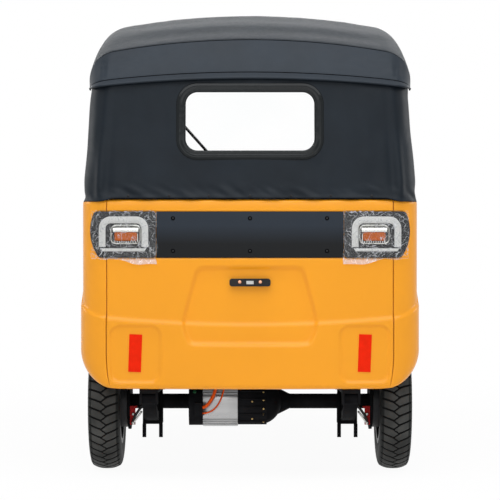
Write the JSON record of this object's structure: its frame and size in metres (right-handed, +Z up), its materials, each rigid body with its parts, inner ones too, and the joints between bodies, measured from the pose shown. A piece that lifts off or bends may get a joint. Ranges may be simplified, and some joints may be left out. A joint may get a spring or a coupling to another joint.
{
  "type": "electric passenger tricycle",
  "caption": "Three-wheeled electric passenger vehicle with a painted rear body, soft canopy, rear bench, driver's seat and steered front wheel.",
  "frame": {"origin": "on the ground under the middle of the bounding box", "axes": "+X to the vehicle's right, +Y forward, +Z up"},
  "size_m": [1.4, 2.696, 1.78],
  "materials": {
    "body_paint": "gloss",
    "black_paint": "satin",
    "grey_floor": "satin",
    "canopy_cloth": "coated, semi-gloss",
    "border_vinyl": "gloss",
    "clear_film": "clear",
    "screen_glass": "clear",
    "black_plastic": "gloss",
    "ring_plastic": "satin",
    "amber_lens": "clear gloss",
    "red_reflector": "prismatic",
    "lamp_lens": "clear gloss",
    "chassis_black": "satin",
    "axle_black": "painted",
    "bare_aluminium": "cast",
    "spring_steel": "painted",
    "brake_red": "satin",
    "orange_cable": "satin",
    "black_cable": "satin",
    "tyre_rubber": "matte",
    "rim_paint": "satin",
    "bracket_steel": "zinc plated",
    "seat_vinyl": "semi-gloss",
    "seat_panel": "satin",
    "battery_case": "satin",
    "dash_plastic": "matte",
    "tube_paint": "satin",
    "mirror_shell": "gloss"
  },
  "bodies": {
    "vehicle": {"rear_panel": "body_paint", "corner_panel_left": "body_paint", "corner_panel_right": "body_paint", "tail_band": "black_plastic", "tail_lamp_housings": "black_plastic", "tail_lamp_rings": "ring_plastic", "indicator_lenses": "amber_lens", "rear_reflectors": "red_reflector", "plate_bracket": "bracket_steel", "canopy_roof": "canopy_cloth", "canopy_rear": "canopy_cloth", "rear_window_border": "border_vinyl", "rear_window_pane": "clear_film", "canopy_frame": "tube_paint", "chassis_frame": "chassis_black", "floor_pan": "grey_floor", "side_sills": "body_paint", "wheel_housings": "black_paint", "passenger_seat_base": "seat_panel", "passenger_cushion": "seat_vinyl", "passenger_backrest": "seat_vinyl", "driver_seat_base": "seat_panel", "driver_cushion": "seat_vinyl", "driver_backrest": "seat_vinyl", "battery_pack": "battery_case", "axle_housing": "axle_black", "drive_motor": "bare_aluminium", "motor_cap": "black_paint", "motor_cables": "orange_cable", "leaf_springs": "spring_steel", "spring_clamps": "spring_steel", "brake_brackets": "brake_red", "brake_cables": "black_cable", "front_cowl": "body_paint", "headlamps": "lamp_lens", "dashboard": "dash_plastic", "windscreen_frame": "black_paint", "windscreen_glass": "screen_glass", "wiper": "black_paint", "mirrors": "mirror_shell"},
    "steering": {"front_fork": "black_paint", "handlebar": "black_paint", "front_mudguard": "body_paint"},
    "front_wheel": {"tyre_front": "tyre_rubber", "rim_front": "rim_paint"},
    "rear_wheel_left": {"tyre_rear_left": "tyre_rubber", "rim_rear_left": "rim_paint"},
    "rear_wheel_right": {"tyre_rear_right": "tyre_rubber", "rim_rear_right": "rim_paint"}
  },
  "joints": [
    {"name": "steering_turn", "type": "hinge", "parent": "vehicle", "child": "steering", "pos_m": [0, 1.007, 0.254], "axis": [0, -0.342, 0.9397], "range_deg": [-40, 40]},
    {"name": "front_wheel_spin", "type": "hinge", "parent": "steering", "child": "front_wheel", "pos_m": [0, 1.052, 0.254], "axis": [-1, 0, 0], "continuous": true},
    {"name": "rear_wheel_left_spin", "type": "hinge", "parent": "vehicle", "child": "rear_wheel_left", "pos_m": [-0.54, -0.948, 0.254], "axis": [-1, 0, 0], "continuous": true},
    {"name": "rear_wheel_right_spin", "type": "hinge", "parent": "vehicle", "child": "rear_wheel_right", "pos_m": [0.54, -0.948, 0.254], "axis": [-1, 0, 0], "continuous": true}
  ]
}
